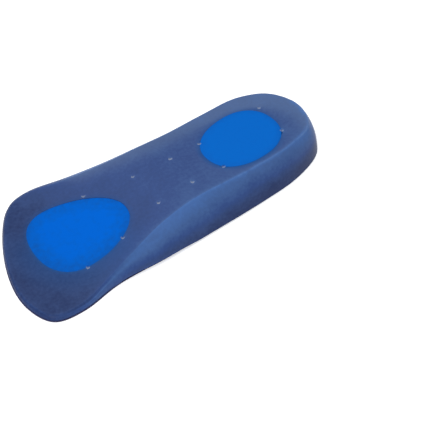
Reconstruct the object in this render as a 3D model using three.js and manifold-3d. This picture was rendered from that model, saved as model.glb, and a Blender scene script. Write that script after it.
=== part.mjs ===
// A three-quarter silicone insole for a left foot, lying face down on a table with its sole up.
// Millimetres. +X runs from the toe edge to the heel, +Y to the outer side of the foot, +Z up.
// The translucent body holds two blocks of softer gel in pockets of its sole, and a thin cloth
// covers the side that the foot stands on, which is the hollow side, turned down here.

import * as THREE from "three";
import { LoftGeometry } from "three/addons/geometries/LoftGeometry.js";
import { mergeVertices } from "three/addons/utils/BufferGeometryUtils.js";
import Module from "manifold-3d";

const { lerp, smoothstep, degToRad } = THREE.MathUtils;

// Driving dimensions
const SOLE_HEIGHT = 17; // flat sole above the table, from the heel to the arch
const TOE_HEIGHT = 3.2; // top of the thin toe edge above the table
const BED_HEIGHT = 9.5; // roof of the hollow that the heel sits in
const SOLE_RAMP = { toe: -70, arch: 8 }; // x where the sole starts and stops climbing
const BED_RAMP = { toe: -60, arch: 4 }; // the same for the hollow side
const COVER_THICKNESS = 1.0;
const GAP = 0.3; // left between pieces that touch
const RIM_THICKNESS = 1.3; // of the silicone at its lowest edge
const COVER_REACH = 0.3; // the cloth ends this far past the silicone
const WALL_ARC = degToRad(50); // the outer wall is this much of a quarter ellipse
const BED_ARC_LEAN = 0.2; // share of the bowl over which the inner wall leaves the upright
const SPINE_SHARE = 0.62; // length of the centre line against the rim's
const COVER_STACK = GAP + COVER_THICKNESS;

// Resolution
const STEPS_PER_ROW = 4;
const WALL_STEPS = 5;
const BED_STEPS = 6;
const INNER_RINGS = [1 / 3, 2 / 3, 1];
const PAD_SIDES = 40;
const SETTLE_STEPS = 60;
const SETTLE_SHARE = 0.3;

// The rim on the table, once round from the back of the heel. Rows run down the outer side to
// the toe edge, which is row 10, and back up the inner side, so that rows 1 and 19 face each other.
// flare: how far inside the rim the flat sole ends. bowl: how far inside it the hollow is level.
const RIM = [
  { x: 90.5, y: 0, flare: 4.2, bowl: 12.2 },
  { x: 82, y: 18.8, flare: 4.5, bowl: 12 },
  { x: 64, y: 27.8, flare: 5.5, bowl: 13 },
  { x: 42, y: 29.2, flare: 7, bowl: 13 },
  { x: 18, y: 29, flare: 8, bowl: 13 },
  { x: -8, y: 30.8, flare: 8, bowl: 14 },
  { x: -32, y: 35.5, flare: 6, bowl: 13 },
  { x: -51, y: 40, flare: 3.2, bowl: 11 },
  { x: -63, y: 37.5, flare: 1.9, bowl: 9 },
  { x: -75.5, y: 22, flare: 1.4, bowl: 8 },
  { x: -86.5, y: -3, flare: 1.2, bowl: 8 },
  { x: -88.8, y: -22.6, flare: 1.2, bowl: 8 },
  { x: -83, y: -37.2, flare: 1.5, bowl: 9 },
  { x: -68, y: -39.4, flare: 2, bowl: 11 },
  { x: -48, y: -35.5, flare: 3, bowl: 16 },
  { x: -22, y: -36.2, flare: 9.7, bowl: 24.2 },
  { x: 6, y: -34.5, flare: 11, bowl: 26 },
  { x: 38, y: -32.2, flare: 8.7, bowl: 17.4 },
  { x: 65, y: -28.4, flare: 7.2, bowl: 13.7 },
  { x: 84.7, y: -18.8, flare: 5.2, bowl: 12.8 },
];

// Gel blocks, flush with the sole. egg: how much wider the toe end is. turn: of the long axis, in
// degrees. lean: how far the outer side is pushed towards the heel and the inner side to the toe.
const PADS = [
  { name: "heel_pad", x: 47.2, y: -3.2, length: 43.6, width: 33.4, egg: -0.05, turn: 7, lean: 0.5 },
  { name: "ball_pad", x: -46.2, y: -1.4, length: 48, width: 40.2, egg: 0.25, turn: -11.5, lean: -1.7 },
];
const PAD_DEEPEST = 3.5;
const PAD_SQUARENESS = 2.25; // exponent of the outline: 2 is an ellipse
const PAD_EDGE = 0.6; // chamfer round the visible face
const PAD_DEPTH_SHARE = 0.5; // of the silicone, where that is thinner

// Dimples that the mould's pins leave in the sole
const PIN = { mouth: 0.8, tip: 0.4, depth: 0.9, sides: 8 };
const PIN_MARKS = [
  { x: 28.5, y: 5.7 },
  { x: 28.8, y: -14.4 },
  { x: 68.5, y: 9.6 },
  { x: 67.6, y: -10.4 },
  { x: 11, y: 5.4 },
  { x: 10.5, y: -14.1 },
  { x: -10, y: 7.3 },
  { x: -9.8, y: -14.5 },
  { x: -33.8, y: 15.2 },
  { x: -33.5, y: -18.9 },
  { x: -54.7, y: -21.3 },
];

const LOOKS = {
  silicone_body: { color: 0x46598a, roughness: 0.45, metalness: 0, transparent: true, opacity: 0.9 },
  heel_pad: { color: 0x0d6dd4, roughness: 0.5, metalness: 0 },
  ball_pad: { color: 0x0563d7, roughness: 0.5, metalness: 0 },
  top_cover: { color: 0x23224e, roughness: 0.95, metalness: 0 },
};

const wasm = await Module();
wasm.setup();

const soleHeight = (x) => lerp(TOE_HEIGHT, SOLE_HEIGHT, smoothstep(x, SOLE_RAMP.toe, SOLE_RAMP.arch));
const bedHeight = (x) => lerp(COVER_STACK, BED_HEIGHT, smoothstep(x, BED_RAMP.toe, BED_RAMP.arch));

// A point of a station's profile: inset from the rim, at a height.
function profilePoint(station, inset, height) {
  const { rim, inward } = station;
  return new THREE.Vector3(rim.x + inward.x * inset, rim.y + inward.y * inset, height);
}

// How far the cloth runs on past the start of the inner wall, along the wall's own direction.
const coverPast = (angle) => RIM_THICKNESS * Math.cos(angle) + COVER_REACH;

// The inner wall in profile, a parabola from the rim up to the level bed. The angle at which it
// leaves the rim sets how high it starts, so that the cloth's lowest edge just meets the table.
function innerWall(station) {
  const lean = BED_ARC_LEAN * (station.bowl - RIM_THICKNESS);
  const bed = bedHeight(profilePoint(station, station.bowl, 0).x);
  let foot = COVER_STACK;
  for (let step = 0; step < SETTLE_STEPS; step++) {
    const angle = Math.atan2(bed - foot, lean);
    const wanted = COVER_STACK * Math.cos(angle) + coverPast(angle) * Math.sin(angle);
    foot = lerp(foot, wanted, SETTLE_SHARE);
  }
  return new THREE.QuadraticBezierCurve(
    new THREE.Vector2(RIM_THICKNESS, foot),
    new THREE.Vector2(RIM_THICKNESS + lean, bed),
    new THREE.Vector2(station.bowl, bed),
  );
}

// Points all round the rim, each with its inward direction, its flare and its inner wall.
function rimStations() {
  const through = (column) =>
    new THREE.CatmullRomCurve3(
      RIM.map((row) => new THREE.Vector3(row.x, row.y, row[column])),
      true,
    );
  const flares = through("flare");
  const bowls = through("bowl");
  const count = RIM.length * STEPS_PER_ROW;
  return Array.from({ length: count }, (_, i) => {
    const at = flares.getPoint(i / count);
    const along = flares.getTangent(i / count).setZ(0).normalize();
    const station = {
      rim: new THREE.Vector2(at.x, at.y),
      inward: new THREE.Vector2(-along.y, along.x),
      flare: at.z,
      bowl: bowls.getPoint(i / count).z,
    };
    return { ...station, inner: innerWall(station) };
  });
}

// Each ring point's place on the centre line. Points that face each other share one.
function spine(ring) {
  return ring.map((point, i) => {
    const facing = ring[(ring.length - i) % ring.length];
    const middle = point.clone().add(facing).multiplyScalar(0.5);
    return new THREE.Vector2(middle.x, middle.y);
  });
}

// Rings from one that is given to the centre line inside it, at the height that a function gives.
function ringsInward(ring, centre, share, heightAt) {
  const line = spine(ring).map((p) => new THREE.Vector2(lerp(centre, p.x, share), p.y));
  return INNER_RINGS.map((inward) =>
    ring.map((point, i) => {
      const x = lerp(point.x, line[i].x, inward);
      const y = lerp(point.y, line[i].y, inward);
      return new THREE.Vector3(x, y, heightAt(x));
    }),
  );
}

const solidOf = (geometry) => {
  const bare = new THREE.BufferGeometry()
    .setAttribute("position", geometry.getAttribute("position"))
    .setIndex(geometry.getIndex());
  const merged = mergeVertices(bare);
  return new wasm.Manifold(
    new wasm.Mesh({
      numProp: 3,
      vertProperties: merged.getAttribute("position").array,
      triVerts: new Uint32Array(merged.index.array),
    }),
  );
};

const geometryOf = (solid) => {
  const { vertProperties, triVerts } = solid.getMesh();
  const geometry = new THREE.BufferGeometry()
    .setAttribute("position", new THREE.BufferAttribute(vertProperties, 3))
    .setIndex(new THREE.BufferAttribute(triVerts, 1));
  geometry.computeVertexNormals();
  return geometry;
};

// The silicone as rings: from the middle of the hollow down to the rim, up the outer wall, in over
// the sole.
function bodyRings(stations) {
  const wall = Array.from({ length: WALL_STEPS + 1 }, (_, i) => {
    const arc = (WALL_ARC * i) / WALL_STEPS;
    return stations.map((station) => {
      const inset = (station.flare * (1 - Math.cos(arc))) / (1 - Math.cos(WALL_ARC));
      const at = profilePoint(station, inset, 0);
      const foot = station.inner.v0.y;
      const rise = Math.sin(arc) / Math.sin(WALL_ARC);
      return at.setZ(lerp(foot, soleHeight(at.x), rise));
    });
  });
  const inside = Array.from({ length: BED_STEPS + 1 }, (_, i) =>
    stations.map((station) => {
      const at = station.inner.getPoint(i / BED_STEPS);
      return profilePoint(station, at.x, at.y);
    }),
  );
  const bed = ringsInward(inside[BED_STEPS], 0, SPINE_SHARE, bedHeight);
  const sole = ringsInward(wall[WALL_STEPS], 0, SPINE_SHARE, soleHeight);
  return [...bed.reverse(), ...inside.reverse(), ...wall, ...sole];
}

// One face of the cloth, a given distance off the silicone's hollow side, from its edge inwards.
function coverFace(stations, distance) {
  const away = (station, at, tangent) =>
    profilePoint(station, at.x + tangent.y * distance, at.y - tangent.x * distance);
  const edge = stations.map((station) => {
    const tangent = station.inner.getTangent(0);
    const past = coverPast(tangent.angle());
    return away(station, station.inner.v0.clone().addScaledVector(tangent, -past), tangent);
  });
  const wall = Array.from({ length: BED_STEPS + 1 }, (_, i) =>
    stations.map((station) => {
      const share = i / BED_STEPS;
      return away(station, station.inner.getPoint(share), station.inner.getTangent(share));
    }),
  );
  const level = (x) => bedHeight(x) - distance;
  return [edge, ...wall, ...ringsInward(wall[BED_STEPS], 0, SPINE_SHARE, level)];
}

function coverRings(stations) {
  const upper = coverFace(stations, GAP);
  const lower = coverFace(stations, COVER_STACK);
  return [...lower.reverse(), ...upper];
}

// A gel block's outline, grown by a margin, as heights above or below the sole.
function padRing(pad, margin, offset) {
  const round = (value) => Math.sign(value) * Math.abs(value) ** (2 / PAD_SQUARENESS);
  const turned = new THREE.Vector2();
  return Array.from({ length: PAD_SIDES }, (_, i) => {
    const angle = (2 * Math.PI * i) / PAD_SIDES;
    const along = round(Math.cos(angle));
    const across = round(Math.sin(angle)) * (1 - pad.egg * along);
    const leaning = pad.lean * across;
    turned.set((pad.length / 2 + margin) * along + leaning, (pad.width / 2 + margin) * across);
    turned.rotateAround(new THREE.Vector2(), degToRad(pad.turn));
    const x = pad.x + turned.x;
    return new THREE.Vector3(x, pad.y + turned.y, soleHeight(x) + offset(x));
  });
}

const padDepth = (x) => -Math.min(PAD_DEEPEST, PAD_DEPTH_SHARE * (soleHeight(x) - bedHeight(x)));

function padSolid(pad) {
  const face = padRing(pad, -PAD_EDGE, () => 0);
  const shoulder = padRing(pad, 0, () => -PAD_EDGE);
  const floor = padRing(pad, 0, padDepth);
  const rings = [
    ...ringsInward(floor, pad.x, SPINE_SHARE, (x) => soleHeight(x) + padDepth(x)).reverse(),
    floor,
    shoulder,
    face,
    ...ringsInward(face, pad.x, SPINE_SHARE, soleHeight),
  ];
  return solidOf(new LoftGeometry(rings));
}

// The hollow that a gel block sits in: its outline with a gap, open at the top.
function pocketSolid(pad) {
  const deeper = (x) => padDepth(x) - GAP;
  const mouth = padRing(pad, GAP, () => PIN.depth);
  const floor = padRing(pad, GAP, deeper);
  const rings = [
    ...ringsInward(floor, pad.x, SPINE_SHARE, (x) => soleHeight(x) + deeper(x)).reverse(),
    floor,
    mouth,
    ...ringsInward(mouth, pad.x, SPINE_SHARE, (x) => soleHeight(x) + PIN.depth),
  ];
  return solidOf(new LoftGeometry(rings));
}

function pinSolid(mark) {
  const pin = new THREE.CylinderGeometry(PIN.mouth, PIN.tip, 2 * PIN.depth, PIN.sides);
  pin.rotateX(Math.PI / 2).translate(mark.x, mark.y, soleHeight(mark.x));
  return solidOf(pin);
}

function bodySolid(stations) {
  const cutters = [...PADS.map(pocketSolid), ...PIN_MARKS.map(pinSolid)];
  return cutters.reduce(
    (body, cutter) => body.subtract(cutter),
    solidOf(new LoftGeometry(bodyRings(stations))),
  );
}

function piece(name, solid) {
  const mesh = new THREE.Mesh(geometryOf(solid), new THREE.MeshStandardMaterial(LOOKS[name]));
  mesh.name = name;
  return mesh;
}

const stations = rimStations();
const insole = new THREE.Group();
insole.add(piece("silicone_body", bodySolid(stations)));
PADS.forEach((pad) => insole.add(piece(pad.name, padSolid(pad))));
insole.add(piece("top_cover", solidOf(new LoftGeometry(coverRings(stations)))));

// The origin is on the table, under the middle of the insole's box.
const middle = new THREE.Box3().setFromObject(insole).getCenter(new THREE.Vector3());
insole.children.forEach((mesh) => mesh.position.set(-middle.x, -middle.y, 0));

export default insole;
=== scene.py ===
# %% [markdown]
# # A silicone insole, sole up
#
# The real thing is a three-quarter insole: a body of cloudy silicone, two blocks of softer blue gel
# set into its sole, and a thin dark cloth on the side that the foot stands on. It lies face down on
# a white table, so the sole and the near wall show, and the cloth shows as a thin dark line at the
# rim and through the silicone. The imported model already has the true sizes. This lesson takes its
# solids as a frame, makes smooth pieces from them and gives each piece its finish.

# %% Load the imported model
import math

import bmesh
import bpy
from mathutils import Matrix, Vector
from mathutils.bvhtree import BVHTree
from mathutils.kdtree import KDTree


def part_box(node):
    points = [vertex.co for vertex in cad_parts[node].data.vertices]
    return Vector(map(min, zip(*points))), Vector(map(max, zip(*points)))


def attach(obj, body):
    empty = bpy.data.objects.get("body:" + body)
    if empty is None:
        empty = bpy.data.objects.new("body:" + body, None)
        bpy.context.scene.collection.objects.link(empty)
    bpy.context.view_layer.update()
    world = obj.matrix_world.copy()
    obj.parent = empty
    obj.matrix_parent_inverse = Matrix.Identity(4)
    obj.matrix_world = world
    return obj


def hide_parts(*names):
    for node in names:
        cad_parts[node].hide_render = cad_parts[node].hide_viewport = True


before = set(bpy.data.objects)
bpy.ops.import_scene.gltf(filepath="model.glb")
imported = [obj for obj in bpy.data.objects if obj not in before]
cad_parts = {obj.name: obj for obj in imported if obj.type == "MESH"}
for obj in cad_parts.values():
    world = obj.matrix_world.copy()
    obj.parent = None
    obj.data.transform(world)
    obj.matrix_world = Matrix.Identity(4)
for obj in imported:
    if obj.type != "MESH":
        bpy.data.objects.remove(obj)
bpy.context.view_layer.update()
MM = 0.001

# %% [markdown]
# ## Camera
#
# The photograph looks down at 46 degrees, from the toe end of the arch side, through a long lens. A
# camera can be aimed with a constraint, but here the object sits off the middle of the picture, so
# the axes are written out: `back` points from the object to the camera, `across` to the right of
# the picture and `up` to its top. The camera then slides sideways until a known point of the
# insole, `SEEN_POINT`, lands on the pixel where the photograph has it.

# %% Camera
IMAGE_SIDE = 430
AZIMUTH = math.radians(-36)
ELEVATION = math.radians(46)
CAMERA_DISTANCE = 700 * MM
FOCAL_PIXELS = 1456
SEEN_POINT = Vector((-6.58, -10.42, 11)) * MM
SEEN_PIXEL = (160, 200)
SENSOR_WIDTH = 36
CLIP_START = 10 * MM

back = Vector(
    (
        math.sin(AZIMUTH) * math.cos(ELEVATION),
        -math.cos(AZIMUTH) * math.cos(ELEVATION),
        math.sin(ELEVATION),
    )
)
across = Vector((math.cos(AZIMUTH), math.sin(AZIMUTH), 0))
up = back.cross(across)
pixel_size = CAMERA_DISTANCE / FOCAL_PIXELS
slide = [(seen - IMAGE_SIDE / 2) * pixel_size for seen in SEEN_PIXEL]
eye = SEEN_POINT + back * CAMERA_DISTANCE - across * slide[0] + up * slide[1]

bpy.ops.object.select_all(action="DESELECT")
bpy.ops.object.camera_add(location=eye)
camera = bpy.context.active_object
camera.matrix_world = Matrix.Translation(eye) @ Matrix((across, up, back)).transposed().to_4x4()
camera.data.sensor_width = SENSOR_WIDTH
camera.data.lens = SENSOR_WIDTH * FOCAL_PIXELS / IMAGE_SIDE
camera.data.clip_start = CLIP_START
bpy.context.scene.camera = camera
print("camera at", [round(v, 3) for v in eye], "lens", round(camera.data.lens, 1), "mm")

# %% [markdown]
# ## Table
#
# In a catalogue picture the white runs right up to the object, with hardly a shadow. A very bright
# lamp could burn the shadow out, but it would wash out the silicone as well. So the table is a plain
# white plane that also glows a little, as a light table does: the shadow fades and the blues stay.

# %% Table
TABLE_SIZE = 6
TABLE_DROP = 0.05 * MM
TABLE_WHITE = (0.93, 0.935, 0.945, 1)
TABLE_GLOW = 0.4
bpy.ops.object.select_all(action="DESELECT")
bpy.ops.mesh.primitive_plane_add(size=TABLE_SIZE, location=(0, 0, -TABLE_DROP))
table = bpy.context.active_object
table.name = "table"
bpy.ops.object.transform_apply(location=True)

table_paint = bpy.data.materials.new("white_table")
table_paint.use_nodes = True
table_shader = table_paint.node_tree.nodes["Principled BSDF"]
table_shader.inputs["Base Color"].default_value = TABLE_WHITE
table_shader.inputs["Roughness"].default_value = 0.9
table_shader.inputs["Specular IOR Level"].default_value = 0.1
table_shader.inputs["Emission Color"].default_value = (1, 1, 1, 1)
table_shader.inputs["Emission Strength"].default_value = TABLE_GLOW
table.data.materials.append(table_paint)
print("table", TABLE_SIZE, "m wide")

# %% [markdown]
# ## Light
#
# Silicone shows every small lamp as a sharp glint, and the real one shows none, so the light comes
# from two large soft boxes. One hangs overhead and a little behind, the other stands on the toe side
# and lights the near wall. A pale world fills the rest. The Standard view keeps the colours as they
# are set, where the film-like view would grey the strong blue of the gel.

# %% Light
SOFT_BOXES = [
    # name, place in metres, width and depth, watts
    ("overhead", (0.15, 0.35, 1.1), (1.2, 1.0), 8.5),
    ("toe_side", (-1.0, -0.65, 0.75), (0.8, 0.8), 11.0),
]
ROOM_COLOUR = (0.95, 0.97, 1, 1)
ROOM_STRENGTH = 0.38


def soft_box(name, place, size, watts):
    bpy.ops.object.select_all(action="DESELECT")
    bpy.ops.object.light_add(type="AREA", location=place)
    lamp = bpy.context.active_object
    lamp.name = name
    lamp.data.shape = "RECTANGLE"
    lamp.data.size, lamp.data.size_y = size
    lamp.data.energy = watts
    lamp.rotation_euler = (-Vector(place)).to_track_quat("-Z", "Y").to_euler()


for row in SOFT_BOXES:
    soft_box(*row)

world = bpy.data.worlds.new("pale_room")
bpy.context.scene.world = world
world.use_nodes = True
background = world.node_tree.nodes["Background"]
background.inputs["Color"].default_value = ROOM_COLOUR
background.inputs["Strength"].default_value = ROOM_STRENGTH
bpy.context.scene.view_settings.view_transform = "Standard"
print("soft boxes:", [row[0] for row in SOFT_BOXES])

# %% [markdown]
# ## From solids to smooth pieces
#
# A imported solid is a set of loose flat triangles, and the real insole has no flat facet anywhere. It
# could be sculpted anew, but then it would drift from the true sizes. Instead, three steps turn a copy
# of the solid into a piece that bends smoothly: merge the corners that lie on each other, turn pairs
# of triangles back into four-sided faces, and run a Subdivision Surface modifier over them. Edges
# that should stay edges get a crease first, because subdivision would melt them.

# %% Helpers for selecting and editing
def only(piece):
    bpy.ops.object.select_all(action="DESELECT")
    piece.select_set(True)
    bpy.context.view_layer.objects.active = piece


def edit(piece, mode="EDGE"):
    only(piece)
    bpy.ops.object.mode_set(mode="EDIT")
    bpy.ops.mesh.select_mode(type=mode)
    bpy.ops.mesh.select_all(action="DESELECT")
    return bmesh.from_edit_mesh(piece.data)


def leave(piece):
    bmesh.update_edit_mesh(piece.data)
    bpy.ops.object.mode_set(mode="OBJECT")


def add_modifier(piece, kind, **values):
    only(piece)
    bpy.ops.object.modifier_add(type=kind)
    modifier = piece.modifiers[-1]
    for key, value in values.items():
        setattr(modifier, key, value)
    bpy.ops.object.modifier_apply(modifier=modifier.name)


# %% Copy a solid as four-sided faces
WELD_DISTANCE = 0.005 * MM
QUAD_BEND = math.radians(30)
QUAD_SKEW = math.radians(60)


def welded_copy(node, name):
    piece = bpy.data.objects.new(name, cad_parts[node].data.copy())
    piece.data.name = name
    piece.data.materials.clear()
    bpy.context.scene.collection.objects.link(piece)
    edit(piece)
    bpy.ops.mesh.select_all(action="SELECT")
    bpy.ops.mesh.remove_doubles(threshold=WELD_DISTANCE)
    bpy.ops.mesh.customdata_custom_splitnormals_clear()
    bpy.ops.mesh.tris_convert_to_quads(face_threshold=QUAD_BEND, shape_threshold=QUAD_SKEW)
    leave(piece)
    return piece


# %% Crease, smooth and count
SMOOTH_ANGLE = math.radians(40)


def crease_outward_edges(piece, sharper_than):
    mesh = edit(piece)
    for edge in mesh.edges:
        if edge.is_manifold and edge.calc_face_angle_signed() > math.radians(sharper_than):
            edge.select_set(True)
    bpy.ops.transform.edge_crease(value=1)
    leave(piece)


def subdivide(piece, levels):
    add_modifier(piece, "SUBSURF", levels=levels, render_levels=levels)


def smooth(piece):
    only(piece)
    bpy.ops.object.shade_smooth_by_angle(angle=SMOOTH_ANGLE)
    print(piece.name, len(piece.data.vertices), "points,", len(piece.data.polygons), "faces")


# %% [markdown]
# ## Gel pads
#
# Each pad is a block of soft blue gel that was poured into a pocket of the sole, so it fills the
# pocket to its edge and bulges a hair above the silicone. The solids keep a gap there, as separate
# parts must. The pad could be left as it is, but the gap would show as a dark groove. So the copy is
# widened until it meets the pocket and raised a little. Its top is spread once more, which
# keeps the rounded edge that the subdivision makes from opening the groove again.

# %% Gel pads
PAD_RISE = 0.35 * MM
PAD_GROWTH = 0.55 * MM
PAD_EDGE_CLOSING = 0.3 * MM
PAD_TOP_SLOPE = 0.9
PAD_LEVELS = 3


def widen(node, amount):
    low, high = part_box(node)
    spread = [1 + 2 * amount / (b - a) for a, b in zip(low, high)]
    middle = [(a + b) / 2 for a, b in zip(low, high)]
    bpy.ops.transform.resize(value=(spread[0], spread[1], 1), center_override=middle)


def gel_pad(node, name):
    pad = welded_copy(node, name)
    mesh = edit(pad, "FACE")
    bpy.ops.mesh.select_all(action="SELECT")
    widen(node, PAD_GROWTH)
    bpy.ops.transform.translate(value=(0, 0, PAD_RISE))
    bpy.ops.mesh.select_all(action="DESELECT")
    for face in mesh.faces:
        face.select_set(face.normal.z > PAD_TOP_SLOPE)
    widen(node, PAD_EDGE_CLOSING)
    leave(pad)
    subdivide(pad, PAD_LEVELS)
    return pad


heel_gel = gel_pad("heel_pad", "heel_gel")
ball_gel = gel_pad("ball_pad", "ball_gel")
print("pads with", len(heel_gel.data.polygons), "and", len(ball_gel.data.polygons), "faces")

# %% [markdown]
# ## Cloth
#
# A thin knitted cloth is glued to the whole foot side, so it follows the hollow heel and the arch like
# a skin. A cloth simulation would only press it back onto the silicone that it is bonded to, so the
# copy of its solid is used as it is, with its cut edge creased. It is unwrapped before it is
# subdivided: a cube projection of size 1 gives UV coordinates in metres, and the knit can be set
# out on them at its real size.

# %% Cloth
CUT_EDGE_ANGLE = 50
CLOTH_LEVELS = 2
cloth = welded_copy("top_cover", "foot_cloth")
edit(cloth, "FACE")
bpy.ops.mesh.select_all(action="SELECT")
bpy.ops.uv.cube_project(cube_size=1, correct_aspect=False)
leave(cloth)
crease_outward_edges(cloth, CUT_EDGE_ANGLE)
subdivide(cloth, CLOTH_LEVELS)
smooth(cloth)

# %% [markdown]
# ## Silicone body
#
# The silicone comes down over the cloth and leaves only a thin dark line of it to see. The solid
# stops short of the cloth by the gap between parts, so the lowest ring of its rim is moved down and
# out, and the seam closes.

# %% Silicone body
RIM_TOP = 1.6 * MM
RIM_DROP = 0.6 * MM
RIM_GROWTH = 0.25 * MM
silicone = welded_copy("silicone_body", "gel_body")
mesh = edit(silicone, "VERT")
for vert in mesh.verts:
    vert.select_set(vert.co.z < RIM_TOP)
print("rim points moved:", sum(vert.select for vert in mesh.verts))
bpy.ops.transform.translate(value=(0, 0, -RIM_DROP))
widen("silicone_body", RIM_GROWTH)
leave(silicone)

# %% [markdown]
# ## Find the pin marks
#
# Small pins in the mould held the gel in place, and each left a dimple in the sole. In the solid a
# dimple is a pit with a few flat sides, which subdivision would turn into a dent twice as wide. So
# the pits are found by their steep little faces, their places are noted, and their floors are lifted
# to the sole. Round dimples are pressed in at the same places once the surface is smooth.

# %% Find the pin marks
PIN_FACE_SLOPE = (0.15, 0.25)
PIN_FACE_AREA = 0.9 * MM * MM
PIN_DEEP = 0.5 * MM
PIN_SPACING = 3 * MM
PIN_LEAST_CORNERS = 3
PIN_LIFT = 0.9 * MM


def steep_pits(mesh):
    pits = []
    for face in mesh.faces:
        steep = PIN_FACE_SLOPE[0] < face.normal.z < PIN_FACE_SLOPE[1]
        if not steep or face.calc_area() > PIN_FACE_AREA:
            continue
        top = max(vert.co.z for vert in face.verts)
        floor = [vert for vert in face.verts if top - vert.co.z > PIN_DEEP]
        middle = face.calc_center_median()
        near = [pit for pit in pits if (pit["middle"] - middle).length < PIN_SPACING]
        if near:
            near[0]["floor"] += [vert for vert in floor if vert not in near[0]["floor"]]
        else:
            pits.append({"middle": middle, "top": top, "floor": floor})
    return [pit for pit in pits if len(pit["floor"]) >= PIN_LEAST_CORNERS]


# %% Lift the floors of the pits
mesh = edit(silicone, "VERT")
pin_places = []
for pit in steep_pits(mesh):
    for vert in pit["floor"]:
        vert.select_set(True)
    middle = sum((vert.co for vert in pit["floor"]), Vector()) / len(pit["floor"])
    pin_places.append(Vector((middle.x, middle.y, pit["top"])))
bpy.ops.transform.translate(value=(0, 0, PIN_LIFT))
leave(silicone)
print(len(pin_places), "pin marks, first at", [round(v / MM, 1) for v in pin_places[0]], "mm")

# %% [markdown]
# ## Round the edge of the sole
#
# On the real insole the sole meets the wall in a crisp line at the heel and in a broad soft bend
# at the arch. A Bevel modifier rounds an edge, and its width can be set for each edge by a bevel
# weight, so one modifier makes both: the weight grows from the heel to the arch. The points along
# the edge are kept, because the finish needs to know how far below the edge a place lies.

# %% Choose the edge of the sole
EDGE_ROUND = 2.5 * MM
HEEL_SHARE = 0.15
ARCH_SOFT = (38 * MM, -24 * MM)
ARCH_END = -45 * MM
EDGE_ANGLE = math.radians(18)
WALL_LEAST_SLOPE = 0.3
SOLE_LEAST_SLOPE = 0.95
EDGE_SAMPLES = 8


def share_between(value, start, end):
    return min(max((value - start) / (end - start), 0), 1)


def weigh_sole_edge(piece):
    mesh = edit(piece)
    weight = mesh.edges.layers.float.new("bevel_weight_edge")
    line = []
    for edge in mesh.edges:
        wall, sole = sorted(face.normal.z for face in edge.link_faces)
        if wall < WALL_LEAST_SLOPE or sole < SOLE_LEAST_SLOPE or edge.calc_face_angle() < EDGE_ANGLE:
            continue
        first, last = (vert.co.copy() for vert in edge.verts)
        middle = (first + last) / 2
        arch = middle.y < 0 and middle.x > ARCH_END
        edge[weight] = HEEL_SHARE + arch * (1 - HEEL_SHARE) * share_between(middle.x, *ARCH_SOFT)
        line += [first.lerp(last, step / EDGE_SAMPLES) for step in range(EDGE_SAMPLES)]
    leave(piece)
    return line


# %% Round it and smooth the body
RIM_ANGLE = 45
EDGE_SEGMENTS = 3
BODY_LEVELS = 2
sole_edge = weigh_sole_edge(silicone)
add_modifier(silicone, "BEVEL", limit_method="WEIGHT", width=EDGE_ROUND, segments=EDGE_SEGMENTS)
crease_outward_edges(silicone, RIM_ANGLE)
subdivide(silicone, BODY_LEVELS)
print("points along the edge of the sole:", len(sole_edge))

# %% [markdown]
# ## Press the pin marks
#
# A dimple is a small round hollow with a crisp lip. Sculpting eleven of them would need a very fine
# mesh everywhere, so a ball is sunk at each noted place and taken away with a Boolean modifier. The
# ball's radius follows from the width and depth of the dimple. Some marks straddle the edge of a
# pad, so the pads are cut by the same balls.

# %% Press the pin marks
PIN_RADIUS = 0.8 * MM
PIN_DEPTH = 0.45 * MM
BALL_SEGMENTS = 20
BALL_RINGS = 14
BALL_RADIUS = (PIN_RADIUS**2 + PIN_DEPTH**2) / (2 * PIN_DEPTH)
ball_centres = [place + Vector((0, 0, BALL_RADIUS - PIN_DEPTH)) for place in pin_places]


def pin_balls():
    balls = []
    for centre in ball_centres:
        bpy.ops.mesh.primitive_uv_sphere_add(
            segments=BALL_SEGMENTS, ring_count=BALL_RINGS, radius=BALL_RADIUS, location=centre
        )
        balls.append(bpy.context.active_object)
    for ball in balls:
        ball.select_set(True)
    bpy.ops.object.join()
    return bpy.context.active_object


bpy.ops.object.select_all(action="DESELECT")
balls = pin_balls()
for piece in (silicone, heel_gel, ball_gel):
    add_modifier(piece, "BOOLEAN", operation="DIFFERENCE", solver="MANIFOLD", object=balls)
    smooth(piece)
bpy.data.objects.remove(balls)

# %% [markdown]
# ## How milky the silicone looks
#
# Cloudy silicone is dark where the cloth lies close behind it and turns a milky blue where it is
# thick, so its colour tells its depth. True scattering inside the body could show this, but it needs
# many samples, and the exported model would lose it. So the depth is measured here, at each
# point of the mesh, and kept as an attribute, the milk, that the finish reads. The same attribute also
# carries the painted light and painted highlights of the cells below. This cell holds the small tools
# for it: trees that find the nearest point or the nearest wall quickly. What a tree answers ends with
# the distance, so `[-1]` picks that.

# %% Helpers for measuring
def tree_of(points):
    tree = KDTree(len(points))
    for index, point in enumerate(points):
        tree.insert(point, index)
    tree.balance()
    return tree


def wall_tree(piece):
    return BVHTree.FromObject(piece, bpy.context.evaluated_depsgraph_get())


def keep(piece, name, values):
    piece.data.attributes.new(name, "FLOAT", "POINT").data.foreach_set("value", values)
    print(piece.name, name, "from", round(min(values), 2), "to", round(max(values), 2))


cloth_tree = wall_tree(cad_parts["top_cover"])
edge_tree = tree_of(sole_edge)
pin_tree = tree_of(pin_places)
print("trees of", len(sole_edge), "edge points and", len(pin_places), "pin marks")
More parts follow.
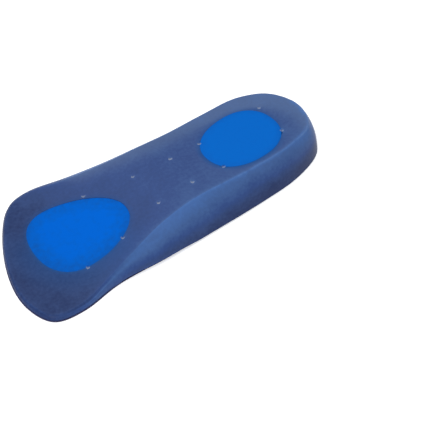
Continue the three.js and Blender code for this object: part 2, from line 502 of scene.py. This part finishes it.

# %% [markdown]
# ## Milk of the sole
#
# Light reaches the sole through the far wall, so the depth is measured along a slanted line, down to
# the cloth or the table. Near the far edge the line runs past the cloth, and there the silicone is
# painted palest and greyer, as painted light that comes in through the far wall; a second attribute,
# `clear`, marks that band. Behind the ball pad the sole is a shade darker, over the hollow of the arch.
# The steps between mesh points would show, so each value is then averaged with its neighbours a few
# times, as a Smooth brush does.

# %% Milk of the sole
LIGHT_SLANT = Vector((0.41, 0.56, -0.72)).normalized()
DEPTH_SEEN = (-1 * MM, 10 * MM)
DEPTH_LEAST = 3 * MM
# where the slant runs past the cloth, the band by the far edge takes painted light
DEPTH_FAR_LIGHT = (11.4 * MM, 14.2 * MM)
SOLE_MILK = 0.3
FAR_LIGHT_MILK = 0.17
FAR_LIGHT_SHARE = 0.28
FRONT_FAR_LIGHT = 0.75
HEEL_EXTRA = 0.07
TOE_LESS = 0.04
HOLLOW_PLACE = Vector((-15.5, -17)) * MM
HOLLOW_REACH = 9 * MM
HOLLOW_LESS = 0.1
HEEL_SIDE = (-5 * MM, 40 * MM)
TOE_SIDE = (-40 * MM, -65 * MM)
SOFTENING = 10


def between(first, second, share):
    return first + (second - first) * share


def softened(piece, values):
    for _ in range(SOFTENING):
        total = [0] * len(values)
        count = [0] * len(values)
        for edge in piece.data.edges:
            first, second = edge.vertices
            total[first] += values[second]
            total[second] += values[first]
            count[first] += 1
            count[second] += 1
        values = [(value + t / c) / 2 for value, t, c in zip(values, total, count)]
    return values


def depth_under(vertex):
    depth = cloth_tree.ray_cast(vertex.co, LIGHT_SLANT)[-1] or vertex.co.z / -LIGHT_SLANT.z
    return max(depth, DEPTH_LEAST)


def sole_milk_and_light(vertex, depth):
    heel = share_between(vertex.co.x, *HEEL_SIDE)
    toe = share_between(vertex.co.x, *TOE_SIDE)
    hollow = math.exp(-(((vertex.co.xy - HOLLOW_PLACE).length / HOLLOW_REACH) ** 2))
    milk_and_light = SOLE_MILK * share_between(depth, *DEPTH_SEEN)
    milk_and_light += FAR_LIGHT_MILK * between(FRONT_FAR_LIGHT, 1, heel) * share_between(depth, *DEPTH_FAR_LIGHT)
    return milk_and_light + HEEL_EXTRA * heel - TOE_LESS * toe - HOLLOW_LESS * hollow


depths = [depth_under(vertex) for vertex in silicone.data.vertices]
milk_and_light = softened(silicone, [sole_milk_and_light(*pair) for pair in zip(silicone.data.vertices, depths)])
# painted light in the band by the far edge, kept as its own attribute
clear = softened(silicone, [FAR_LIGHT_SHARE * share_between(depth, *DEPTH_FAR_LIGHT) for depth in depths])
print("sole milk up to", round(max(milk_and_light), 2), "and clear up to", round(max(clear), 2))

# %% [markdown]
# ## Milk of the wall
#
# The wall is brightest just under the edge of the sole and darkens towards the table. Partly that is
# real, because the cloth climbs up behind it, and partly it is painted light: the upper wall is painted
# brighter. So its milk falls with the distance from the edge, and faster at the heel, where the wall is
# steep. Round the thin toe it is as dark as the sole, and where the toe runs into the arch a painted
# highlight brightens it. What counts as wall is read from the slope: `wall_share` is 0 on the sole
# and 1 on the wall.

# %% Milk of the wall
WALL_SLOPE = (0.955, 0.84)
TOE_WALL_SLOPE = (0.866, 0.75)
TOE_WALL = (-28 * MM, -44 * MM)
WALL_THICK = (1.5 * MM, 6 * MM)
ARCH_WALL_MILK_AND_LIGHT = 0.71
ARCH_FADES = 22 * MM
ARCH_BEND = 1.1
HEEL_WALL_MILK_AND_LIGHT = 0.56
HEEL_FADES = 15.5 * MM
HEEL_BEND = 1.3
HEEL_END = (62 * MM, 84 * MM)
HEEL_END_MILK_AND_LIGHT = 0.12
TOE_MILK = 0.03
TOE_CORNER = ((-84 * MM, -62 * MM), (-24 * MM, -33 * MM))
TOE_CORNER_HIGHLIGHT = 0.42


def wall_share(vertex):
    front = share_between(vertex.co.x, *TOE_WALL)
    start, end = (between(*pair, front) for pair in zip(WALL_SLOPE, TOE_WALL_SLOPE))
    return share_between(vertex.normal.z, start, end)


def toe_corner(vertex):
    return math.prod(share_between(value, *span) for value, span in zip(vertex.co, TOE_CORNER))


def wall_milk_and_light(vertex, edge):
    heel = share_between(vertex.co.x, *HEEL_SIDE)
    toe = share_between(vertex.co.x, *TOE_SIDE)
    thick = cloth_tree.ray_cast(vertex.co, -vertex.normal)[-1] or WALL_THICK[1]
    # the top of the wall: its milk plus painted light on the upper wall
    top = between(ARCH_WALL_MILK_AND_LIGHT, HEEL_WALL_MILK_AND_LIGHT, heel) + HEEL_END_MILK_AND_LIGHT * share_between(vertex.co.x, *HEEL_END)
    fades = between(ARCH_FADES, HEEL_FADES, heel)
    fallen = min(edge / fades, 1) ** between(ARCH_BEND, HEEL_BEND, heel)
    deep = top * (1 - fallen) * share_between(thick, *WALL_THICK)
    # a painted highlight where the toe runs into the arch
    return between(deep, TOE_MILK + TOE_CORNER_HIGHLIGHT * toe_corner(vertex), toe)


print("points on the wall:", sum(wall_share(vertex) == 1 for vertex in silicone.data.vertices))

# %% [markdown]
# ## Painted highlights along the edge
#
# Light gathers where the silicone bends; here it is painted in as highlights. The edge of the sole
# shows a fine painted bright line, strongest round the heel. On the arch side the sole is painted
# brighter for some millimetres before it turns down into the wall, and towards the toe a painted bright
# ridge sinks from the edge down the wall. Each is a small amount of milk that fades with the distance
# from the edge or, for the ridge, with the slope.

# %% Painted highlights along the edge
ARCH_SIDE = (10 * MM, -5 * MM)
EDGE_HIGHLIGHT = (0.06, 0.26)
EDGE_LINE_WIDTH = 0.8 * MM
ARCH_CREST = 0.15
HEEL_CREST = 0.07
CREST_REACH = 3.5 * MM
RIDGE_HIGHLIGHT = 0.14
RIDGE_STARTS = (-24 * MM, -36 * MM)
RIDGE_SINKS = (-32 * MM, -52 * MM)
RIDGE_SLOPE = (0.87, 0.73)
RIDGE_WIDTH = 0.05


def edge_highlight(vertex, edge):
    heel = share_between(vertex.co.x, *HEEL_SIDE)
    arch_side = share_between(vertex.co.y, *ARCH_SIDE)
    return between(*EDGE_HIGHLIGHT, heel * arch_side) * math.exp(-((edge / EDGE_LINE_WIDTH) ** 2))


def crest_highlight(vertex, edge):
    toe = share_between(vertex.co.x, *TOE_SIDE)
    heel = share_between(vertex.co.x, *HEEL_SIDE)
    arch_side = share_between(vertex.co.y, *ARCH_SIDE)
    crest = between(ARCH_CREST, HEEL_CREST, heel) * arch_side * (1 - toe)
    return crest * math.exp(-edge / CREST_REACH)


def ridge_highlight(vertex):
    strength = RIDGE_HIGHLIGHT * toe_corner(vertex) * share_between(vertex.co.x, *RIDGE_STARTS)
    slope = between(*RIDGE_SLOPE, share_between(vertex.co.x, *RIDGE_SINKS))
    return strength * math.exp(-(((vertex.normal.z - slope) / RIDGE_WIDTH) ** 2))


print("the ridge adds up to", round(max(map(ridge_highlight, silicone.data.vertices)), 2))

# %% [markdown]
# ## The gel's blue and painted shade beside the pads
#
# Next to a pad the silicone takes on its blue, where the gel is seen through the lip of the pocket.
# The colour it is mixed towards is darker than the silicone, and the mix is strongest on the side
# that faces the arch and the toe: there it is painted shade of the raised pad as well as the gel's
# blue.
# It is a soft fringe some two millimetres wide, and by the ball pad a weaker haze reaches further.
# Both fall with the distance from the pad and are kept as a third attribute.

# %% The gel's blue and painted shade beside the pads
ARCH_CORNER = Vector((-0.59, -0.81, 0))
GLOW_REACH = 2.8 * MM
GLOW_FACING = (-0.1, 0.5)
NEAR_BLUE_AND_SHADE = 0.85
GLOW_FAR = 0.35
GLOW_BEND = 1.3
HAZE = 0.4
HAZE_REACH = 14 * MM
HAZE_SIDE = (5 * MM, -25 * MM)


def middle_of(piece):
    corners = [Vector(corner) for corner in piece.bound_box]
    return sum(corners, Vector()) / len(corners)


pad_trees = [(wall_tree(pad), middle_of(pad)) for pad in (heel_gel, ball_gel)]


def nearest_pad(place):
    return min((tree.find_nearest(place)[-1], middle) for tree, middle in pad_trees)


# the gel's blue seen through the silicone, with painted shade on the near side of each raised pad
def gel_blue_and_shade_mask(vertex):
    beside, middle = nearest_pad(vertex.co)
    facing = share_between((vertex.co - middle).normalized().dot(ARCH_CORNER), *GLOW_FACING)
    fringe = between(GLOW_FAR, NEAR_BLUE_AND_SHADE, facing)
    fringe *= (1 - share_between(beside, 0, GLOW_REACH)) ** GLOW_BEND
    haze = HAZE * facing * share_between(vertex.co.x, *HAZE_SIDE)
    return max(fringe, haze * (1 - share_between(beside, 0, HAZE_REACH)))


keep(silicone, "gel_blue_and_shade", [gel_blue_and_shade_mask(vertex) for vertex in silicone.data.vertices])

# %% [markdown]
# ## Join sole and wall
#
# Each point now has a milk as sole and one as wall, and the slope says how much of each it takes. A
# pocket or a dimple is steep as well, but it belongs to the sole, so points beside a pad or a pin
# mark count as sole. Forward of the heel the bend is soft, so the result is blurred there. The
# painted highlight lines come after that, or the blur would take them.

# %% Join sole and wall
PAD_EDGE = 1 * MM
SOFT_SIDE = (40 * MM, 10 * MM)
edges = [edge_tree.find(vertex.co)[-1] for vertex in silicone.data.vertices]
for index, (vertex, edge) in enumerate(zip(silicone.data.vertices, edges)):
    wall = wall_share(vertex)
    if nearest_pad(vertex.co)[0] < PAD_EDGE or pin_tree.find(vertex.co)[-1] < 2 * PIN_RADIUS:
        wall = 0
    sole = milk_and_light[index] + crest_highlight(vertex, edge)
    milk_and_light[index] = between(sole, wall_milk_and_light(vertex, edge), wall)
    clear[index] *= 1 - wall
blurred = softened(silicone, milk_and_light)
for index, (vertex, edge) in enumerate(zip(silicone.data.vertices, edges)):
    soft = share_between(vertex.co.x, *SOFT_SIDE)
    # painted highlights along the edge of the sole and down the toe ridge
    line = edge_highlight(vertex, edge) + ridge_highlight(vertex)
    milk_and_light[index] = between(milk_and_light[index], blurred[index], soft) + line
keep(silicone, "milk_and_light", milk_and_light)
keep(silicone, "clear", clear)

# %% [markdown]
# ## Light in the dimples
#
# A dimple in clear silicone works as a tiny lens: one side of it is a pale spot and the other a little
# darker than the sole. Glassy silicone could bend real light so, but a dimple is only three pixels
# wide here, so the pale spot is a painted highlight and the darker side painted shade. Each point
# inside a dimple keeps on which side it lies: above zero on the highlight side, which is by far the
# larger, and below zero on the shaded one.

# %% Light in the dimples
DIMPLE_HIGHLIGHT_SHARE = 0.9
BALL_SKIN = 0.02 * MM


# which side of a dimple takes the painted highlight and which the painted shade
def pin_light_side(piece):
    centres = tree_of(ball_centres)
    light_side = []
    for vertex in piece.data.vertices:
        centre, index, distance = centres.find(vertex.co)
        inside = distance < BALL_RADIUS + BALL_SKIN
        light_side.append(inside * ((vertex.co - centre).dot(ARCH_CORNER) / PIN_RADIUS + DIMPLE_HIGHLIGHT_SHARE))
    return light_side


for piece in (silicone, heel_gel, ball_gel):
    keep(piece, "pin_light_side", pin_light_side(piece))

# %% [markdown]
# ## Heart and rim of the gel
#
# The gel is a clear strong blue in the middle of a pad and duller at its edge, where it is shallow. The
# ball pad fades over a wide border and most of all towards the toe. The heel pad is even almost
# to its edge. `heart` holds how far a point is from the dull edge, and `rim` marks the rounded
# edge itself where it faces the arch and the toe; that part of the edge is painted darker, as painted
# shade.

# %% Heart and rim of the gel
RIM_BAND = (0.3, 0.8)
RIM_SLOPE = (0.95, 0.7)
RIM_FACING = (-0.5, 0.1)
HEARTS = {
    # pad: brightness at its edge, width of its border, how far it leans away from the toe
    "heel_gel": (0.0, 4 * MM, 0),
    "ball_gel": (0.15, 10 * MM, 0.12),
}


def gel_heart(pad):
    start, border, lean = HEARTS[pad.name]
    low, high = RIM_BAND
    rim_tree = tree_of([vertex.co for vertex in pad.data.vertices if low < vertex.normal.z < high])
    middle = middle_of(pad)
    half = pad.dimensions.x / 2
    heart = []
    for vertex in pad.data.vertices:
        inward = share_between(rim_tree.find(vertex.co)[-1], 0, border)
        heart.append(between(start, 1, inward) - lean * (vertex.co - middle).dot(ARCH_CORNER) / half)
    return heart


# painted shade on the rounded edge of a pad where it faces the arch and the toe
def gel_rim_shade(pad):
    middle = middle_of(pad)
    rim = []
    for vertex in pad.data.vertices:
        facing = (vertex.co - middle).normalized().dot(ARCH_CORNER)
        rim.append(share_between(vertex.normal.z, *RIM_SLOPE) * share_between(facing, *RIM_FACING))
    return rim


for pad in (heel_gel, ball_gel):
    keep(pad, "heart", gel_heart(pad))
    keep(pad, "rim", gel_rim_shade(pad))

# %% [markdown]
# ## Shared effects
#
# Clouds in the silicone, the faint unevenness of the gel and the grain that the mould left on both
# are noise at different scales. A node group holds the noise once, with its scale as an input, and
# each finish sets its own. It reads Object coordinates, so the pattern is fixed to the piece.

# %% Node tools
def new_group(name, inputs, outputs):
    group = bpy.data.node_groups.new(name, "ShaderNodeTree")
    for socket in inputs:
        group.interface.new_socket(socket, in_out="INPUT", socket_type="NodeSocketFloat")
    for socket in outputs:
        group.interface.new_socket(socket, in_out="OUTPUT", socket_type="NodeSocketFloat")
    source = group.nodes.new("NodeGroupInput")
    sink = group.nodes.new("NodeGroupOutput")
    return group, source, sink


def calculate(tree, operation, *values):
    node = tree.nodes.new("ShaderNodeMath")
    node.operation = operation
    for socket, value in zip(node.inputs, values):
        if isinstance(value, (int, float)):
            socket.default_value = value
        else:
            tree.links.new(value, socket)
    return node.outputs["Value"]


# %% Clouds and grain
def noise_group(name, detail):
    group, source, sink = new_group(name, ["Scale"], ["Value"])
    place = group.nodes.new("ShaderNodeTexCoord")
    noise = group.nodes.new("ShaderNodeTexNoise")
    noise.inputs["Detail"].default_value = detail
    group.links.new(place.outputs["Object"], noise.inputs["Vector"])
    group.links.new(source.outputs["Scale"], noise.inputs["Scale"])
    group.links.new(noise.outputs["Fac"], sink.inputs["Value"])
    return group


clouds = noise_group("clouds", detail=3)
grain = noise_group("grain", detail=2)
print("groups:", clouds.name, grain.name)

# %% [markdown]
# ## A finish as a small class
#
# Each material is one Principled shader with a few nodes before it. Wiring nodes by hand takes many
# lines, so a `Finish` has one short method for each thing that a material here does: read an
# attribute, spread a noise, run a value through a colour ramp, mix two colours, and raise a bump.
# A Mix node has one set of sockets for numbers and another for colours, under the same names, so
# those for colours are picked by their number.

# %% A finish as a small class
MIX_FIRST = 6
MIX_SECOND = 7
MIX_COLOUR = 2


class Finish:
    def __init__(self, name):
        self.material = bpy.data.materials.new(name)
        self.material.use_nodes = True
        self.tree = self.material.node_tree
        self.shader = self.tree.nodes["Principled BSDF"]

    def group(self, tree, **inputs):
        node = self.tree.nodes.new("ShaderNodeGroup")
        node.node_tree = tree
        for key, value in inputs.items():
            node.inputs[key].default_value = value
        return node.outputs[0]

    def attribute(self, name):
        node = self.tree.nodes.new("ShaderNodeAttribute")
        node.attribute_name = name
        return node.outputs["Fac"]

    def spread(self, value, low, high, start=0.3, end=0.7):
        node = self.tree.nodes.new("ShaderNodeMapRange")
        node.inputs["From Min"].default_value = start
        node.inputs["From Max"].default_value = end
        node.inputs["To Min"].default_value = low
        node.inputs["To Max"].default_value = high
        self.tree.links.new(value, node.inputs["Value"])
        return node.outputs["Result"]

    def sum(self, *values):
        total = values[0]
        for value in values[1:]:
            total = calculate(self.tree, "ADD", total, value)
        return total

    def ramp(self, value, stops):
        node = self.tree.nodes.new("ShaderNodeValToRGB")
        elements = node.color_ramp.elements
        while len(elements) < len(stops):
            elements.new(0.5)
        for element, (position, colour) in zip(elements, stops):
            element.position = position
            element.color = (*colour, 1)
        self.tree.links.new(value, node.inputs["Fac"])
        return node.outputs["Color"]

    def mix(self, factor, first, second):
        node = self.tree.nodes.new("ShaderNodeMix")
        node.data_type = "RGBA"
        self.tree.links.new(factor, node.inputs["Factor"])
        self.tree.links.new(first, node.inputs[MIX_FIRST])
        node.inputs[MIX_SECOND].default_value = (*second, 1)
        return node.outputs[MIX_COLOUR]

    def feed(self, socket, value):
        self.tree.links.new(value, self.shader.inputs[socket])

    def bump(self, height, strength, distance):
        node = self.tree.nodes.new("ShaderNodeBump")
        node.inputs["Strength"].default_value = strength
        node.inputs["Distance"].default_value = distance
        self.tree.links.new(height, node.inputs["Height"])
        self.feed("Normal", node.outputs["Normal"])

    def set(self, **values):
        for key, value in values.items():
            self.shader.inputs[key.replace("_", " ")].default_value = value

    def coat(self, piece):
        piece.data.materials.clear()
        piece.data.materials.append(self.material)
        print(piece.name, "has", self.material.name, "with", len(self.tree.nodes), "nodes")


# %% [markdown]
# ## Dimples in a finish
#
# The silicone and both pads have dimples, so the painted highlight and the painted shade of a dimple
# are mixed in by one function. The attribute that marks them is above zero on the highlight side and
# below zero on the shaded side, and a Mix node takes no factor below zero, so each side leaves the
# other alone.

# %% Dimples in a finish
# painted highlight and painted shade inside the dimples
DIMPLE_HIGHLIGHT = (0.26, 0.3, 0.4)
DIMPLE_SHADE = (0.01, 0.03, 0.12)
DIMPLE_HIGHLIGHT_STRENGTH = 0.8
DIMPLE_SHADE_STRENGTH = 0.5


def with_dimple_light(finish, colour):
    light_side = finish.attribute("pin_light_side")
    shaded_colour = finish.mix(calculate(finish.tree, "MULTIPLY", light_side, -DIMPLE_SHADE_STRENGTH), colour, DIMPLE_SHADE)
    return finish.mix(calculate(finish.tree, "MULTIPLY", light_side, DIMPLE_HIGHLIGHT_STRENGTH), shaded_colour, DIMPLE_HIGHLIGHT)


# %% [markdown]
# ## Cloudy silicone
#
# The silicone is navy over the cloth and milky blue where it is deep, with a satin skin from the mould.
# A ramp turns the milk, with the painted light and highlights that it carries, into colour, after two
# noises have made it a little uneven: soft wide clouds and small blotches. The clear band by the far
# edge is greyed after that, as painted light, and beside the pads the colour is mixed towards a darker
# blue, the gel's own blue with painted shade on the near side. Silicone bends light less than glass,
# so its IOR is 1.41, and a low specular level keeps the skin from looking wet.

# %% Cloudy silicone
SILICONE_COLOURS = [
    # milk, colour
    (0, (0.013, 0.029, 0.103)),
    (0.14, (0.026, 0.053, 0.157)),
    (0.3, (0.032, 0.067, 0.207)),
    (0.48, (0.049, 0.103, 0.262)),
    (0.7, (0.057, 0.135, 0.355)),
    (1, (0.095, 0.185, 0.4)),
]
# grey of the painted light in the band by the far edge
FAR_LIGHT_GREY = (0.125, 0.162, 0.24)
GEL_BLUE_AND_SHADE = (0.004, 0.066, 0.24)
SILICONE_IOR = 1.41

milky = Finish("cloudy_silicone")
wide_clouds = milky.spread(milky.group(clouds, Scale=90), low=-0.04, high=0.04)
blotches = milky.spread(milky.group(clouds, Scale=600), low=-0.045, high=0.045)
tint = milky.ramp(milky.sum(milky.attribute("milk_and_light"), wide_clouds, blotches), SILICONE_COLOURS)
# painted light greys the band by the far edge
tint = milky.mix(milky.attribute("clear"), tint, FAR_LIGHT_GREY)
# the gel's blue beside the pads, with painted shade on their near side
tint = milky.mix(milky.attribute("gel_blue_and_shade"), tint, GEL_BLUE_AND_SHADE)
# painted highlight and painted shade in the dimples
milky.feed("Base Color", with_dimple_light(milky, tint))
skin = milky.group(grain, Scale=1800)
milky.feed("Roughness", milky.spread(skin, low=0.36, high=0.48))
milky.bump(skin, strength=0.06, distance=0.1 * MM)
milky.set(IOR=SILICONE_IOR, Specular_IOR_Level=0.14)
milky.coat(silicone)

# %% [markdown]
# ## Blue gel
#
# The gel is evenly dyed and duller than the silicone, with no gloss to speak of. The ball pad is a
# deeper blue than the heel pad, so each has its own colours for edge, border and heart, and one
# function makes both finishes. A faint cloud keeps the large plain faces from looking printed.

# %% Blue gel
GEL_RIM_SHADE = (0.006, 0.085, 0.35)
GEL_COLOURS = {
    # pad: colour at its edge, in its border and in its heart
    "heel_gel": ((0.003, 0.112, 0.475), (0.0025, 0.119, 0.505), (0.002, 0.125, 0.525)),
    "ball_gel": ((0.003, 0.088, 0.4), (0.001, 0.104, 0.5), (0.0, 0.112, 0.57)),
}


def gel_finish(pad):
    finish = Finish(pad.name + "_blue")
    edge, border, heart = GEL_COLOURS[pad.name]
    uneven = finish.spread(finish.group(clouds, Scale=350), low=-0.3, high=0.3)
    stops = [(0, edge), (0.5, border), (1, heart)]
    tint = finish.ramp(finish.sum(finish.attribute("heart"), uneven), stops)
    # painted shade on the rounded edge that faces the arch and the toe
    tint = finish.mix(finish.attribute("rim"), tint, GEL_RIM_SHADE)
    # painted highlight and painted shade in the dimples
    finish.feed("Base Color", with_dimple_light(finish, tint))
    skin = finish.group(grain, Scale=1500)
    finish.feed("Roughness", finish.spread(skin, low=0.45, high=0.58))
    finish.bump(skin, strength=0.05, distance=0.1 * MM)
    finish.set(IOR=SILICONE_IOR, Specular_IOR_Level=0.02)
    finish.coat(pad)


gel_finish(heel_gel)
gel_finish(ball_gel)

# %% [markdown]
# ## Dark knit
#
# The cloth is a fine navy knit: columns of small V-shaped stitches, about a millimetre wide. A picture
# of cloth could be tiled over it, but the stitch is simple enough to work out. Across a column the
# distance from its middle bends the rows into a V, and a sine along the bent rows and another across
# the column raise the yarn. The same height sets bump, colour and roughness: the low parts between the
# yarns are painted darker, as painted shade. A sheen stands for the fuzz.

# %% Stitch of the knit
STITCHES_PER_METRE = 1050
V_SLANT = 0.9
COLUMN_MIDDLE = 0.5
LEG_MIDDLE = 0.25


def stitch_group():
    group, source, sink = new_group("v_stitch", ["Stitches"], ["Height"])
    place = group.nodes.new("ShaderNodeTexCoord")
    axes = group.nodes.new("ShaderNodeSeparateXYZ")
    group.links.new(place.outputs["UV"], axes.inputs["Vector"])
    stitches = source.outputs["Stitches"]
    columns = calculate(group, "FRACT", calculate(group, "MULTIPLY", axes.outputs["X"], stitches))
    aside = calculate(group, "ABSOLUTE", calculate(group, "SUBTRACT", columns, COLUMN_MIDDLE))
    rows = calculate(group, "MULTIPLY", axes.outputs["Y"], stitches)
    bent = calculate(group, "FRACT", calculate(group, "MULTIPLY_ADD", aside, -V_SLANT, rows))
    along = calculate(group, "SINE", calculate(group, "MULTIPLY", bent, math.pi))
    two_legs = calculate(group, "PINGPONG", columns, LEG_MIDDLE)
    leg = calculate(group, "SINE", calculate(group, "MULTIPLY", two_legs, 2 * math.pi))
    group.links.new(calculate(group, "MULTIPLY", along, leg), sink.inputs["Height"])
    return group


v_stitch = stitch_group()
print("stitch nodes:", len(v_stitch.nodes))

# %% Dark knit
# navy yarn, with painted shade in the low parts between the yarns
YARN_COLOURS_AND_GROOVE_SHADE = [(0, (0.006, 0.006, 0.032)), (0.5, (0.014, 0.014, 0.064)), (1, (0.026, 0.026, 0.098))]

knit = Finish("dark_knit")
yarn = knit.group(v_stitch, Stitches=STITCHES_PER_METRE)
wear = knit.spread(knit.group(clouds, Scale=60), low=-0.12, high=0.12)
fuzz = knit.spread(knit.group(grain, Scale=4000), low=-0.15, high=0.15)
# the stitch height paints shade into the low parts of the knit
knit.feed("Base Color", knit.ramp(knit.sum(yarn, wear, fuzz), YARN_COLOURS_AND_GROOVE_SHADE))
knit.feed("Roughness", knit.spread(yarn, low=0.95, high=0.8, start=0, end=1))
knit.bump(knit.sum(yarn, fuzz), strength=0.7, distance=0.25 * MM)
knit.set(Specular_IOR_Level=0.2, Sheen_Weight=0.25, Sheen_Roughness=0.4)
knit.set(Sheen_Tint=(0.35, 0.35, 0.7, 1))
knit.coat(cloth)

# %% [markdown]
# ## One body
#
# Nothing on the insole turns or slides, so every piece rides on the one body. Each piece stands for
# its solid, and the solid is hidden.

# %% One body
for piece, node, slot in (
    (silicone, "silicone_body", "silicone"),
    (heel_gel, "heel_pad", "gel"),
    (ball_gel, "ball_pad", "gel"),
    (cloth, "top_cover", "cover"),
):
    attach(piece, "root")
    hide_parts(node)
